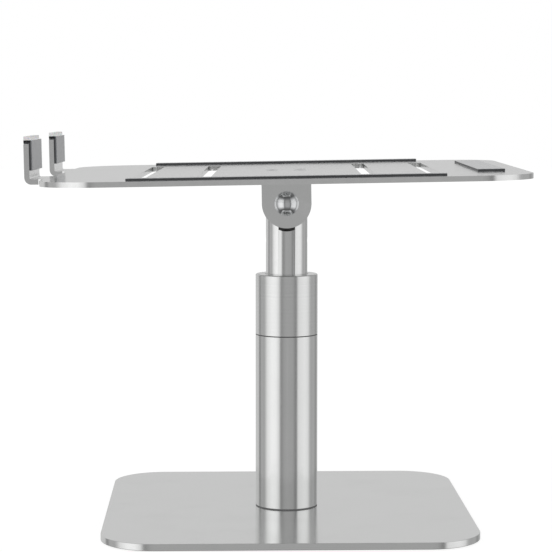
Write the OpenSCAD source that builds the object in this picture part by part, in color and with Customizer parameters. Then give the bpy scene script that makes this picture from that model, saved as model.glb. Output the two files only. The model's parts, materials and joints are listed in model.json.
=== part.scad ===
// Adjustable laptop stand: a square foot plate, a telescoping column with a
// twist lock, a friction hinge and a tray bent from one sheet with two hooks.
// +Z is up, -Y is the user's side with the hooks, X is along the laptop's width.
// The origin is under the middle of the foot, on the surface that it stands on.

/* [Foot] */
// Side of the square foot plate
base_side = 220; // [170:1:270]
// Thickness of the foot plate
base_thick = 4; // [3:0.5:8]
// Corner radius of the foot plate, in plan
base_corner_r = 32; // [10:1:60]
// Thickness of the anti-slip mat under the foot plate
mat_thick = 0.6; // [0.5:0.1:3]
// How far the mat stays in from the foot plate's edge
mat_inset = 3; // [1:0.5:10]
// Radius of the circle that the foot screws stand on
foot_screw_circle_r = 9; // [8:0.5:10]

/* [Column] */
// Outer diameter of the fixed tube and of the lock collar
tube_od = 38; // [36:0.5:50]
// Wall of the fixed tube
tube_wall = 3; // [2:0.1:3.4]
// Length of the fixed tube
tube_len = 105.3; // [85:0.1:160]
// Height of the dark gasket under the fixed tube
gasket_thick = 0.6; // [0.4:0.1:2]
// Height of the dark thrust ring under the lock collar
seam_thick = 0.5; // [0.4:0.1:2]
// How far the dark rings stay in from the tube's skin
seam_inset = 0.4; // [0.2:0.1:1]
// Length of the lock collar
collar_len = 36.8; // [30:0.1:50]
// Pitch of the rings turned into the lock collar
ring_pitch = 2; // [1.5:0.1:4]
// Depth of the rings turned into the lock collar
ring_depth = 0.1; // [0.05:0.05:0.6]
// Outer diameter of the telescoping tube
inner_od = 25.4; // [22:0.1:27]
// Wall of the telescoping tube
inner_wall = 2.4; // [1.5:0.1:2.8]

/* [Hinge] */
// Radius of the round lower ends of the hinge ears
ear_r = 15; // [13:0.1:20]
// Thickness of the hinge bracket's sheet
ear_thick = 3; // [2:0.1:5]
// Distance from the column's axis to the flats milled on the telescoping tube
flat_at = 11.7; // [11:0.05:12]
// Thickness of the friction washers between flats and ears
washer_thick = 0.4; // [0.3:0.1:1]
// Radius of the friction washers
washer_r = 10; // [8:0.1:11]
// Height from the hinge axis to the underside of the tray
hinge_to_tray = 16.8; // [16.6:0.1:30]
// Radius of the hinge bolt's shank
bolt_r = 4; // [3:0.1:5]
// Radius of the domed bolt head
dome_r = 7.2; // [5.5:0.1:7.5]
// Height of the domed bolt head
dome_h = 4.2; // [2:0.1:5]
// Radius of the spring washers under the bolt head and the nut
spring_washer_r = 7.5; // [7.5:0.1:9]

/* [Tray] */
// Size of the tray across, along the laptop's width
tray_across = 280; // [225:1:340]
// Size of the tray from front to rear, without the hooks
tray_deep = 275; // [225:1:340]
// Thickness of the tray's sheet
tray_thick = 3; // [2:0.1:4]
// Corner radius of the tray, in plan
tray_corner_r = 35; // [10:1:50]
// Width of the long slots
slot_width = 8; // [5:0.5:12]
// Length of the long slots, along the laptop's width
slot_len = 184; // [120:1:200]
// Distance of the inner pair of slots from the hinge axis
slot_inner_at = 46.5; // [35:0.5:55]
// Distance of the outer pair of slots from the hinge axis
slot_outer_at = 83.5; // [68:0.5:94]

/* [Hooks] */
// Width of one hook
hook_width = 46.5; // [30:0.5:70]
// Distance from the tray's middle to the middle of a hook
hook_at = 61.5; // [45:0.5:70]
// How far the hooks' outer faces stand out from the tray's front edge
hook_reach = 11.2; // [9:0.1:20]
// Height of the hooks' metal over the underside of the tray
hook_high = 23.8; // [15:0.1:40]
// Inside radius of the bend in the hooks
bend_r = 1; // [0.5:0.1:4]
// Radius of the fillets where the hooks leave the tray
root_fillet_r = 4; // [2:0.5:5]
// Corner radius at the top of the hooks
hook_corner_r = 2; // [1:0.5:8]

/* [Pads] */
// Thickness of the hook pads on the inner face
hook_pad_thick = 1.7; // [1:0.1:3]
// Thickness of the hook pads where they lie over the top of the metal
hook_pad_cap = 3.6; // [2:0.1:5]
// Radius of the hook pads' round shoulder, from the inner face to the top
hook_pad_round = 2.2; // [0.5:0.1:4]
// Height over the tray's underside at which the hook pads start
hook_pad_from = 8; // [7:0.1:12]
// Thickness of the strips and of the rear pad
strip_thick = 1.5; // [1:0.1:3]
// Width of the strips along the side edges
strip_width = 8; // [5:0.5:12]
// Length of the strips along the side edges
strip_len = 175; // [100:1:180]
// How far the strips' middle stays in from the tray's side edge
strip_in = 10; // [7:0.5:14]
// Width of the rear pad across the tray
rear_pad_across = 160; // [80:1:200]
// Size of the rear pad from front to rear
rear_pad_deep = 15.5; // [8:0.5:20]
// How far the rear pad's middle stays in from the tray's rear edge
rear_pad_in = 20.5; // [12:0.5:24]

/* [Pose] */
// How far the telescoping tube is drawn out from its lowest place
lift_rest = 28; // [2:1:66]
// Tilt of the tray, front down, in degrees
rest_tilt = 1; // [0:0.1:49]
// Turn of the tray and telescoping tube about the column, in degrees
rest_swivel = -1.8; // [-10:0.1:10]

/* [Fits] */
// Radial clearance of a part that turns in another
run_clear = 0.05; // [0.02:0.01:0.1]
// Radial clearance of a part that slides in another
slide_clear = 0.1; // [0.05:0.01:0.2]
// Clearance of a part that never touches its neighbour
free_clear = 0.4; // [0.3:0.05:0.8]
// Steepest tilt that the stop allows, in degrees
tilt_most = 49; // [30:1:55]

/* [Hidden] */
$fn = 96;
through = 1;

// Foot, from the surface upwards
plate_z = mat_thick;
plate_top = plate_z + base_thick;
tube_r = tube_od / 2;
tube_bore_r = tube_r - tube_wall;
tube_z = plate_top + gasket_thick;
plug_len = 10;
plug_top = plate_top + plug_len;
foot_screws = 4;
foot_screw_r = 2.5;
foot_screw_head_r = 5;
foot_screw_len = base_thick + plug_len - 1;
foot_socket_r = 1.9;
// Depth of a hex socket, as a part of the screw head's cone
socket_deep = 0.7;

// Twist lock
seam_z = tube_z + tube_len;
collar_z = seam_z + seam_thick;
collar_top = collar_z + collar_len;
neck_spigot = 10;
neck_z = seam_z - neck_spigot;
neck_top = collar_z + 17;
neck_r = tube_bore_r;
inner_r = inner_od / 2;
inner_bore_r = inner_r - inner_wall;
neck_bore_r = inner_r + 0.3;
thread_pitch = 1.5;
thread_depth = 0.5;
collet_flange = 2;
collet_z = neck_top;
collet_base_r = neck_r - 0.8;
collet_tip_r = inner_r + 1.5;
collet_top = collar_top - 6;
collet_slits = 6;
collet_slit = 1.2;
wiper_high = 2.5;
wiper_z = collar_top - 4.5;
wiper_r = inner_r + 1.8;

// Telescoping tube
low_gap = 0.6;
hinge_z = collar_top + low_gap + ear_r + lift_rest;
tail_gap = 1;
tail_z = plug_top + tail_gap + lift_rest;
tail_flange = 3;
tail_flange_r = tube_bore_r - 1;
journal_r = inner_bore_r + 0.7;
bush_len = 13.8;
bush_end_gap = 0.1;
bush_z = tail_z + tail_flange + bush_end_gap;
inner_z = bush_z + bush_len + bush_end_gap;
tail_spigot = 12;
tail_screw_r = 2;
// The flats run out at 45 degrees between these two heights
ledge_z = hinge_z - ear_r - 2;
ledge_top = ledge_z + inner_r - flat_at;

// Hinge
core_len = 30;
core_pin_r = 2;
core_pin_below = 23;
hinge_bush_wall = 1.5;
hinge_bush_len = 8;
ear_in = flat_at + washer_thick + run_clear;
ear_out = ear_in + ear_thick;
bracket_bend_r = 1;
spring_washer_thick = 0.9;
dome_rim = 0.5;
nut_hex_r = 6.6;
nut_hex_thick = 3;
nut_dome_r = 5.4;
nut_dome_h = 3.6;
web_z = hinge_to_tray - ear_thick;
stop_r = 2;
stop_end = web_z - 2.9;
stop_floor = stop_end - 0.4;
stop_side = 0.25;

// Tray, measured from the hinge axis
tray_top = hinge_to_tray + tray_thick;
hook_out = tray_deep / 2 + hook_reach;
bend_out = bend_r + tray_thick;
hook_in = hook_out - tray_thick;
hook_top = hinge_to_tray + hook_high;
bracket_screw_r = 2;
bracket_screw_head_r = 4;
bracket_screw_at = 8.6;
bracket_screw_len = tray_thick + ear_thick;
bracket_socket_r = 1.4;

// ---- shapes that repeat ----

// A rectangle with true round corners, about its middle
module round_rect(size, r) {
    square([size[0] - 2 * r, size[1]], center = true);
    square([size[0], size[1] - 2 * r], center = true);
    for (sx = [-1, 1], sy = [-1, 1])
        translate([sx * (size[0] / 2 - r), sy * (size[1] / 2 - r)])
            circle(r);
}

// A ring between two radii, standing on z = 0
module ring(outer_r, inner_r, high) {
    difference() {
        cylinder(r = outer_r, h = high);
        translate([0, 0, -through])
            cylinder(r = inner_r, h = high + 2 * through);
    }
}

// A countersunk screw with its head's face on z = 0 and its shank along -Z
module countersunk(shank_r, head_r, len, socket_r) {
    cone = head_r - shank_r;
    difference() {
        rotate_extrude()
            polygon([
                [0, 0],
                [head_r, 0],
                [shank_r, -cone],
                [shank_r, -len],
                [0, -len]
            ]);
        translate([0, 0, -socket_deep * cone])
            cylinder(r = socket_r, h = cone + through, $fn = 6);
    }
}

// The hole that a countersunk screw fills
module countersunk_hole(shank_r, head_r, len) {
    cone = head_r - shank_r;
    rotate_extrude()
        polygon([
            [0, through],
            [head_r, through],
            [head_r, 0],
            [shank_r, -cone],
            [shank_r, -len],
            [0, -len]
        ]);
}

// A dome of base radius r and height h on z = 0
module dome(r, h) {
    ball_r = (r * r + h * h) / (2 * h);
    intersection() {
        translate([0, 0, h - ball_r])
            sphere(ball_r);
        cylinder(r = r, h = h + through);
    }
}

// Children stand on the telescoping tube, which is turned about the column
module swivelled() {
    rotate([0, 0, rest_swivel])
        children();
}

// Children are given from the hinge axis, with the tray level
module tilted() {
    swivelled()
        translate([0, 0, hinge_z])
            rotate([rest_tilt, 0, 0])
                children();
}

// Turns a drawing in (Y, Z) into a slab of the given thickness along X
module slab_along_x(x_from, thick) {
    translate([x_from, 0, 0])
        rotate([90, 0, 90])
            linear_extrude(thick)
                children();
}

// ---- foot ----

module base_mat() {
    color("dimgray")
        linear_extrude(mat_thick)
            round_rect([base_side - 2 * mat_inset, base_side - 2 * mat_inset],
                base_corner_r - mat_inset);
}

// Places children at the foot screws, with +Z down out of the plate
module at_foot_screws() {
    for (i = [0 : foot_screws - 1])
        rotate([0, 0, 45 + i * 360 / foot_screws])
            translate([foot_screw_circle_r, 0, plate_z])
                rotate([180, 0, 0])
                    children();
}

module base_plate() {
    color("silver")
        difference() {
            translate([0, 0, plate_z])
                linear_extrude(base_thick)
                    round_rect([base_side, base_side], base_corner_r);
            at_foot_screws()
                countersunk_hole(foot_screw_r, foot_screw_head_r, foot_screw_len);
        }
}

module base_screws() {
    color("dimgray")
        at_foot_screws()
            countersunk(foot_screw_r, foot_screw_head_r, foot_screw_len, foot_socket_r);
}

module foot_plug() {
    color("gray")
        difference() {
            translate([0, 0, plate_top])
                cylinder(r = tube_bore_r, h = plug_len);
            at_foot_screws()
                countersunk_hole(foot_screw_r, foot_screw_head_r, foot_screw_len);
        }
}

module foot_gasket() {
    color("black")
        translate([0, 0, plate_top])
            ring(tube_r - seam_inset, tube_bore_r, gasket_thick);
}

module outer_tube() {
    color("silver")
        translate([0, 0, tube_z])
            ring(tube_r, tube_bore_r, tube_len);
}

// ---- twist lock ----

module lock_neck() {
    grooves = floor((neck_top - collar_z - 2) / thread_pitch);
    color("gray")
        difference() {
            translate([0, 0, neck_z])
                ring(neck_r, neck_bore_r, neck_top - neck_z);
            for (i = [0 : grooves - 1])
                translate([0, 0, collar_z + 1 + i * thread_pitch])
                    thread_groove();
        }
}

// One groove of the neck's thread, cut as a closed ring
module thread_groove() {
    rotate_extrude()
        polygon([
            [neck_r + through, thread_pitch / 2 - through],
            [neck_r + through, thread_pitch / 2 + through],
            [neck_r - thread_depth, thread_pitch / 2]
        ]);
}

module seam_ring() {
    color("black")
        translate([0, 0, seam_z])
            ring(tube_r - seam_inset, neck_r, seam_thick);
}

module collet() {
    color("white")
        difference() {
            rotate_extrude()
                polygon([
                    [inner_r + run_clear, collet_z],
                    [collet_base_r, collet_z],
                    [collet_base_r, collet_z + collet_flange],
                    [collet_tip_r, collet_top],
                    [inner_r + run_clear, collet_top]
                ]);
            for (i = [0 : collet_slits - 1])
                rotate([0, 0, i * 360 / collet_slits])
                    translate([0, -collet_slit / 2, collet_z + collet_flange])
                        cube([tube_r, collet_slit, collar_len]);
        }
}

// Outline of the turned rings on the lock collar, from the bottom upwards
function collar_rings() = [
    for (i = [0 : floor((collar_len - 2 * ring_pitch) / ring_pitch)])
        for (p = [[0, -0.3], [ring_depth, 0], [0, 0.3]])
            [tube_r - p[0], collar_z + (i + 1) * ring_pitch + p[1]]
];

module lock_collar() {
    rim = 0.5;
    cone_gap = free_clear;
    thread_r = neck_r + run_clear;
    color("silver")
        rotate_extrude()
            polygon(concat(
                [
                    [thread_r, collar_z],
                    [tube_r - rim, collar_z],
                    [tube_r, collar_z + rim]
                ],
                collar_rings(),
                [
                    [tube_r, collar_top - rim],
                    [tube_r - rim, collar_top],
                    [inner_r + free_clear, collar_top],
                    [inner_r + free_clear, wiper_z + wiper_high],
                    [wiper_r, wiper_z + wiper_high],
                    [wiper_r, wiper_z],
                    [inner_r + free_clear, wiper_z],
                    [inner_r + free_clear, collet_top + cone_gap],
                    [collet_tip_r + cone_gap, collet_top + cone_gap],
                    [collet_tip_r + cone_gap, collet_top],
                    [collet_base_r + cone_gap, collet_z + collet_flange],
                    [thread_r, collet_z]
                ]
            ));
}

module collar_wiper() {
    color("black")
        translate([0, 0, wiper_z])
            ring(wiper_r, inner_r + slide_clear, wiper_high);
}

// ---- telescoping tube ----

module guide_bush() {
    color("white")
        translate([0, 0, bush_z])
            ring(tube_bore_r - slide_clear, journal_r + run_clear, bush_len);
}

// All that lies inside the hinge's knuckle: round over the hinge axis
module knuckle_limit() {
    translate([0, 0, hinge_z])
        rotate([0, 90, 0])
            cylinder(r = inner_r, h = 3 * inner_r, center = true);
    translate([-2 * inner_r, -2 * inner_r, 0])
        cube([4 * inner_r, 4 * inner_r, hinge_z]);
}

// The groove that the tilt stop runs in, cut round the hinge axis
module stop_groove() {
    reach = asin((stop_r + stop_side) / stop_end);
    wide = 2 * (stop_r + stop_side);
    far = 2 * inner_r;
    translate([0, 0, hinge_z])
        difference() {
            slab_along_x(-wide / 2, wide)
                polygon([
                    [0, 0],
                    [far * sin(reach), far * cos(reach)],
                    [-far * sin(tilt_most / 2), far * cos(tilt_most / 2)],
                    [-far * sin(tilt_most + reach), far * cos(tilt_most + reach)]
                ]);
            rotate([0, 90, 0])
                cylinder(r = stop_floor, h = wide + 2 * through, center = true);
        }
}

// What is milled off one side of the telescoping tube
module flat_cut(side) {
    rotate([90, 0, 0])
        translate([0, 0, -inner_r])
            linear_extrude(2 * inner_r)
                polygon([
                    [side * flat_at, ledge_top],
                    [side * (inner_r + through), ledge_z - through],
                    [side * (inner_r + through), hinge_z + ear_r],
                    [side * flat_at, hinge_z + ear_r]
                ]);
}

// The hole for the hinge bushes, through tube and core
module hinge_bore(r, long) {
    translate([0, 0, hinge_z])
        rotate([0, 90, 0])
            cylinder(r = r, h = long, center = true);
}

module core_pin_hole() {
    translate([0, 0, hinge_z - core_pin_below])
        rotate([90, 0, 0])
            cylinder(r = core_pin_r, h = 3 * inner_r, center = true);
}

module inner_tube() {
    color("silver")
        swivelled()
            difference() {
                intersection() {
                    translate([0, 0, inner_z])
                        ring(inner_r, inner_bore_r, hinge_z + inner_r - inner_z);
                    knuckle_limit();
                }
                for (side = [-1, 1])
                    flat_cut(side);
                hinge_bore(bolt_r + hinge_bush_wall, 4 * inner_r);
                core_pin_hole();
                stop_groove();
                tail_screw_hole();
            }
}

module hinge_core() {
    bush_in = flat_at - hinge_bush_len;
    color("gray")
        swivelled()
            difference() {
                intersection() {
                    translate([0, 0, hinge_z - core_len])
                        cylinder(r = inner_bore_r, h = core_len + inner_r);
                    knuckle_limit();
                }
                hinge_bore(bolt_r + free_clear, 4 * inner_r);
                for (side = [0, 180])
                    translate([0, 0, hinge_z])
                        rotate([0, 90, side])
                            translate([0, 0, bush_in])
                                cylinder(r = bolt_r + hinge_bush_wall, h = inner_r);
                core_pin_hole();
                stop_groove();
            }
}

module core_pin() {
    color("gray")
        swivelled()
            translate([0, 0, hinge_z - core_pin_below])
                rotate([90, 0, 0])
                    cylinder(r = core_pin_r, h = 2 * (inner_r - 0.3), center = true);
}

module hinge_bushes() {
    color("khaki")
        swivelled()
            translate([0, 0, hinge_z])
                for (side = [0, 180])
                    rotate([0, 90, side])
                        translate([0, 0, flat_at - hinge_bush_len])
                            ring(bolt_r + hinge_bush_wall, bolt_r + run_clear, hinge_bush_len);
}

module friction_washers() {
    color("black")
        swivelled()
            translate([0, 0, hinge_z])
                for (side = [0, 180])
                    rotate([0, 90, side])
                        translate([0, 0, flat_at])
                            ring(washer_r, bolt_r + free_clear, washer_thick);
}

module tail_screw_hole() {
    translate([0, 0, inner_z + tail_spigot / 2])
        rotate([90, 0, 0])
            translate([0, 0, inner_bore_r / 2])
                cylinder(r = tail_screw_r, h = 2 * inner_r);
}

module tube_tail() {
    color("gray")
        swivelled()
            difference() {
                union() {
                    translate([0, 0, tail_z])
                        cylinder(r = tail_flange_r, h = tail_flange);
                    translate([0, 0, tail_z])
                        cylinder(r = journal_r, h = inner_z - tail_z);
                    translate([0, 0, tail_z])
                        cylinder(r = inner_bore_r, h = inner_z - tail_z + tail_spigot);
                }
                tail_screw_hole();
            }
}

module tail_screw() {
    color("dimgray")
        swivelled()
            translate([0, 0, inner_z + tail_spigot / 2])
                rotate([90, 0, 0])
                    translate([0, 0, inner_bore_r / 2])
                        difference() {
                            cylinder(r = tail_screw_r, h = inner_r - 0.3 - inner_bore_r / 2);
                            translate([0, 0, inner_r - 2.3 - inner_bore_r / 2])
                                cylinder(r = 1.1, h = 3, $fn = 6);
                        }
}

// ---- hinge, which tilts with the tray ----

// Places children at the four screws that hold the bracket, on the tray's top
module at_bracket_screws() {
    for (sx = [-1, 1], sy = [-1, 1])
        translate([sx * bracket_screw_at, sy * bracket_screw_at, tray_top])
            children();
}

// Section of the folded bracket across the hinge axis, in (X, Z)
module bracket_section() {
    r = bracket_bend_r + ear_thick;
    difference() {
        union() {
            translate([-ear_out + r, -ear_r])
                square([2 * (ear_out - r), ear_r + hinge_to_tray]);
            translate([-ear_out, -ear_r])
                square([2 * ear_out, ear_r + hinge_to_tray - r]);
            for (side = [-1, 1])
                translate([side * (ear_out - r), hinge_to_tray - r])
                    circle(r);
        }
        translate([-ear_in, -ear_r - through])
            square([2 * ear_in, ear_r + through + web_z - bracket_bend_r]);
        translate([-ear_in + bracket_bend_r, 0])
            square([2 * (ear_in - bracket_bend_r), web_z]);
        for (side = [-1, 1])
            translate([side * (ear_in - bracket_bend_r), web_z - bracket_bend_r])
                circle(bracket_bend_r);
    }
}

module hinge_bracket() {
    color("silver")
        tilted()
            difference() {
                intersection() {
                    translate([0, ear_r, 0])
                        rotate([90, 0, 0])
                            linear_extrude(2 * ear_r)
                                bracket_section();
                    slab_along_x(-ear_out, 2 * ear_out) {
                        circle(ear_r);
                        translate([-ear_r, 0])
                            square([2 * ear_r, hinge_to_tray]);
                    }
                }
                rotate([0, 90, 0])
                    cylinder(r = bolt_r, h = 3 * ear_out, center = true);
                translate([0, 0, web_z - through])
                    cylinder(r = stop_r, h = ear_thick + 2 * through);
                at_bracket_screws()
                    translate([0, 0, -2 * bracket_screw_len])
                        cylinder(r = bracket_screw_r, h = 2 * bracket_screw_len);
            }
}

module hinge_bolt() {
    head_x = ear_out + spring_washer_thick;
    color("gainsboro")
        tilted()
            rotate([0, 90, 0]) {
                translate([0, 0, -head_x - nut_hex_thick])
                    cylinder(r = bolt_r, h = 2 * head_x + nut_hex_thick);
                translate([0, 0, head_x])
                    cylinder(r = dome_r, h = dome_rim);
                translate([0, 0, head_x + dome_rim])
                    dome(dome_r, dome_h);
            }
}

module hinge_nut() {
    seat_x = ear_out + spring_washer_thick;
    color("gainsboro")
        tilted()
            rotate([0, -90, 0])
                translate([0, 0, seat_x]) {
                    difference() {
                        union() {
                            cylinder(r = nut_hex_r, h = nut_hex_thick, $fn = 6);
                            translate([0, 0, nut_hex_thick])
                                dome(nut_dome_r, nut_dome_h);
                        }
                        translate([0, 0, -through])
                            cylinder(r = bolt_r, h = nut_hex_thick + through);
                    }
                }
}

module spring_washers() {
    color("gainsboro")
        tilted()
            for (side = [-90, 90])
                rotate([0, side, 0])
                    translate([0, 0, ear_out])
                        ring(spring_washer_r, bolt_r, spring_washer_thick);
}

module tilt_stop() {
    color("gray")
        tilted()
            translate([0, 0, stop_end])
                cylinder(r = stop_r, h = hinge_to_tray - stop_end);
}

module bracket_screws() {
    color("gainsboro")
        tilted()
            at_bracket_screws()
                countersunk(bracket_screw_r, bracket_screw_head_r, bracket_screw_len, bracket_socket_r);
}

// ---- tray ----

// Plan of the flat part of the tray, with the tabs that bend up into hooks
module tray_plan() {
    tab_end = hook_out - bend_out;
    front = tray_deep / 2;
    round_rect([tray_across, tray_deep], tray_corner_r);
    for (side = [-1, 1])
        translate([side * hook_at, 0]) {
            translate([-hook_width / 2, -tab_end])
                square([hook_width, tab_end - front + tray_corner_r]);
            for (edge = [-1, 1])
                translate([edge * (hook_width / 2 + root_fillet_r), -front - root_fillet_r])
                    root_fillet(edge);
        }
}

// The concave corner between a hook's tab and the tray's front edge
module root_fillet(edge) {
    difference() {
        translate([edge > 0 ? -root_fillet_r : 0, 0])
            square([root_fillet_r, root_fillet_r + 0.5]);
        circle(root_fillet_r);
    }
}

module slots_plan() {
    for (at = [slot_inner_at, slot_outer_at], side = [-1, 1])
        translate([0, side * at])
            round_rect([slot_len, slot_width], slot_width / 2 - 0.001);
}

// Outline of one hook seen from the front, in (X, Z)
module hook_front() {
    translate([0, hook_top / 2])
        round_rect([hook_width, hook_top], hook_corner_r);
    translate([-hook_width / 2, 0])
        square([hook_width, hook_top / 2]);
}

// Section of one hook's bend and upright, in (Y, Z)
module hook_section() {
    bend_y = -hook_out + bend_out;
    bend_z = hinge_to_tray + bend_out;
    translate([-hook_out, bend_z])
        square([tray_thick, hook_top - bend_z]);
    intersection() {
        translate([bend_y, bend_z])
            difference() {
                circle(bend_out);
                circle(bend_r);
            }
        translate([-hook_out, hinge_to_tray])
            square([bend_out, bend_out]);
    }
}

module tray_plate() {
    color("silver")
        tilted()
            difference() {
                union() {
                    translate([0, 0, hinge_to_tray])
                        linear_extrude(tray_thick)
                            difference() {
                                tray_plan();
                                slots_plan();
                            }
                    for (side = [-1, 1])
                        translate([side * hook_at, 0, 0])
                            intersection() {
                                slab_along_x(-hook_width / 2, hook_width)
                                    hook_section();
                                translate([0, -hook_out + bend_out + through, 0])
                                    rotate([90, 0, 0])
                                        linear_extrude(bend_out + 2 * through)
                                            hook_front();
                            }
                }
                at_bracket_screws()
                    countersunk_hole(bracket_screw_r, bracket_screw_head_r, bracket_screw_len);
            }
}

// ---- soft pads ----

// Section of a hook pad, in (Y, Z): up the inner face and over the top
module hook_pad_section() {
    face = -hook_in + hook_pad_thick;
    cap_top = hook_top + hook_pad_cap;
    round_r = min(hook_pad_round, hook_pad_cap);
    from = hinge_to_tray + hook_pad_from;
    translate([-hook_in, from])
        square([hook_pad_thick, hook_top - from]);
    translate([-hook_out, hook_top])
        square([face - round_r + hook_out, hook_pad_cap]);
    translate([-hook_out, hook_top])
        square([face + hook_out, hook_pad_cap - round_r]);
    intersection() {
        translate([face - round_r, cap_top - round_r])
            circle(round_r);
        translate([face - round_r, hook_top])
            square([round_r, hook_pad_cap]);
    }
}

module hook_pad(side) {
    color("slategray")
        tilted()
            translate([side * hook_at, 0, 0])
                intersection() {
                    slab_along_x(-hook_width / 2, hook_width)
                        hook_pad_section();
                    rotate([90, 0, 0])
                        linear_extrude(hook_out + through)
                            translate([0, (hook_top + hook_pad_cap) / 2])
                                round_rect([hook_width, hook_top + hook_pad_cap], hook_corner_r);
                }
}

module hook_pad_right() hook_pad(1);
module hook_pad_left() hook_pad(-1);

module tray_strip(side) {
    color("slategray")
        tilted()
            translate([side * (tray_across / 2 - strip_in), 0, tray_top])
                linear_extrude(strip_thick)
                    round_rect([strip_width, strip_len], 1);
}

module tray_strip_right() tray_strip(1);
module tray_strip_left() tray_strip(-1);

module rear_pad() {
    color("slategray")
        tilted()
            translate([0, tray_deep / 2 - rear_pad_in, tray_top])
                linear_extrude(strip_thick)
                    round_rect([rear_pad_across, rear_pad_deep], 1);
}

base_mat();
base_plate();
base_screws();
foot_plug();
foot_gasket();
outer_tube();
lock_neck();
seam_ring();
collet();
lock_collar();
collar_wiper();
guide_bush();
inner_tube();
tube_tail();
tail_screw();
hinge_core();
core_pin();
hinge_bushes();
friction_washers();
hinge_bracket();
hinge_bolt();
hinge_nut();
spring_washers();
tilt_stop();
bracket_screws();
tray_plate();
hook_pad_right();
hook_pad_left();
tray_strip_right();
tray_strip_left();
rear_pad();
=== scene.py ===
import json
import math

import bmesh
import bpy
from mathutils import Matrix, Vector


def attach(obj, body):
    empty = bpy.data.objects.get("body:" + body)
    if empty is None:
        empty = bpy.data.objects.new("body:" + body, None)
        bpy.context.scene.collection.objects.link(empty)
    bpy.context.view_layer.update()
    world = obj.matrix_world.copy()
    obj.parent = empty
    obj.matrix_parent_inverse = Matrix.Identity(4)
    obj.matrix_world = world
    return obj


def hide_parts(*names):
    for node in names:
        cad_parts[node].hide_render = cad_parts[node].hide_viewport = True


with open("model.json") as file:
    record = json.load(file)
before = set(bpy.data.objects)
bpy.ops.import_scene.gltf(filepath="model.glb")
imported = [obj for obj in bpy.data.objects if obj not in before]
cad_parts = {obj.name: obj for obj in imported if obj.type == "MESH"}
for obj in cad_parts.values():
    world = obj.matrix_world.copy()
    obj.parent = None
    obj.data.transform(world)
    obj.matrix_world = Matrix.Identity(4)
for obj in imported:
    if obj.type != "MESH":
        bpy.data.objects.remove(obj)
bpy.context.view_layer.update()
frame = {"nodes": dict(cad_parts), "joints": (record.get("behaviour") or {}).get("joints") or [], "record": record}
node = frame["nodes"]
record = frame["record"]

# ---------------------------------------------------------------------------
# Studio. A pale floor, a white backdrop and tall soft lights on both sides,
# with the camera level with the tray, beyond the stand's right-hand side.
# ---------------------------------------------------------------------------
camera_distance = 1.2193
camera_height = 0.2543
camera_aside = -0.0065
camera_turn = math.radians(-1.537)
camera_pitch = math.radians(5.064)
camera_roll = math.radians(0.02)
camera_lens = 130.38

camera_data = bpy.data.cameras.new("studio_camera")
camera_data.lens = camera_lens
camera_data.sensor_width = 36
camera_data.clip_start = 0.05
camera_data.clip_end = 60
camera = bpy.data.objects.new("studio_camera", camera_data)
bpy.context.collection.objects.link(camera)
round_column = Matrix.Rotation(camera_turn, 3, "Z")
camera.location = round_column @ Vector((camera_distance, camera_aside, camera_height))
looking = round_column @ Vector((-math.cos(camera_pitch), 0, -math.sin(camera_pitch)))
level = looking.to_track_quat("-Z", "Y").to_matrix()
camera.rotation_euler = (level @ Matrix.Rotation(camera_roll, 3, "Z")).to_euler()
bpy.context.scene.camera = camera
bpy.context.scene.view_settings.view_transform = "Standard"


def wire(tree, value, socket):
    """Sets a socket from another node's socket, a number or a colour."""
    if isinstance(value, bpy.types.NodeSocket):
        tree.links.new(value, socket)
    elif isinstance(value, tuple) and len(value) == 3 and socket.type == "RGBA":
        socket.default_value = (*value, 1)
    else:
        socket.default_value = value


def figure(tree, operation, *values):
    """The result of a Math node."""
    made = tree.nodes.new("ShaderNodeMath")
    made.operation = operation
    for socket, value in zip(made.inputs, values):
        wire(tree, value, socket)
    return made.outputs[0]


def ramp(tree, factor, stops, ease="LINEAR"):
    """A ramp of greys or colours, given as (position, value) stops."""
    made = tree.nodes.new("ShaderNodeValToRGB")
    made.color_ramp.interpolation = ease
    elements = made.color_ramp.elements
    while len(elements) < len(stops):
        elements.new(0.5)
    for element, (place, value) in zip(elements, stops):
        element.position = place
        element.color = (*value, 1) if isinstance(value, tuple) else (value, value, value, 1)
    wire(tree, factor, made.inputs[0])
    return made.outputs[0]


def blend(tree, factor, first, second):
    """Goes from the first colour to the second as factor goes from 0 to 1."""
    made = tree.nodes.new("ShaderNodeMix")
    made.data_type = "RGBA"
    wire(tree, factor, made.inputs[0])
    wire(tree, first, made.inputs[6])
    wire(tree, second, made.inputs[7])
    return made.outputs[2]


# Brightness of the walls and soft lights by direction round the column, in
# degrees: 0 is behind the camera and 90 is beyond the tray's rear edge.
studio_walls = [
    (-180, 0.62), (-130, 0.60), (-123, 0.26), (-117, 0.28), (-110, 0.44), (-92, 0.40), (-78, 0.82),
    (-58, 1.00), (-42, 0.98), (-30, 0.76), (-23, 0.25), (-10, 0.37), (0, 0.39), (22, 0.37), (35, 0.20),
    (42, 0.78), (70, 0.88), (86, 0.78), (96, 0.44), (104, 0.40), (124, 0.42), (134, 0.28), (150, 0.42),
    (168, 0.62), (180, 0.62),
]
# Ceiling, by the angle from the camera's side over the top, in degrees: a wide
# soft light hangs just in front of the column, with plain ceiling round it.
studio_ceiling = [
    (0, 0.34), (58, 0.32), (69, 0.70), (84, 0.70), (94, 0.36), (116, 0.36), (124, 0.42), (180, 0.42),
]
ceiling_grey = 0.42
ground_grey = 0.12
backdrop_white = 1.0
light_ends = (0.50, 0.62)
walls_end = (0.66, 0.80)
ground_starts = (0.42, 0.74)


def fade(ends):
    """Ramp stops that go from 0 to 1 between two heights or widths."""
    return [(ends[0], 0.0), (ends[1], 1.0)]


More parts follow.
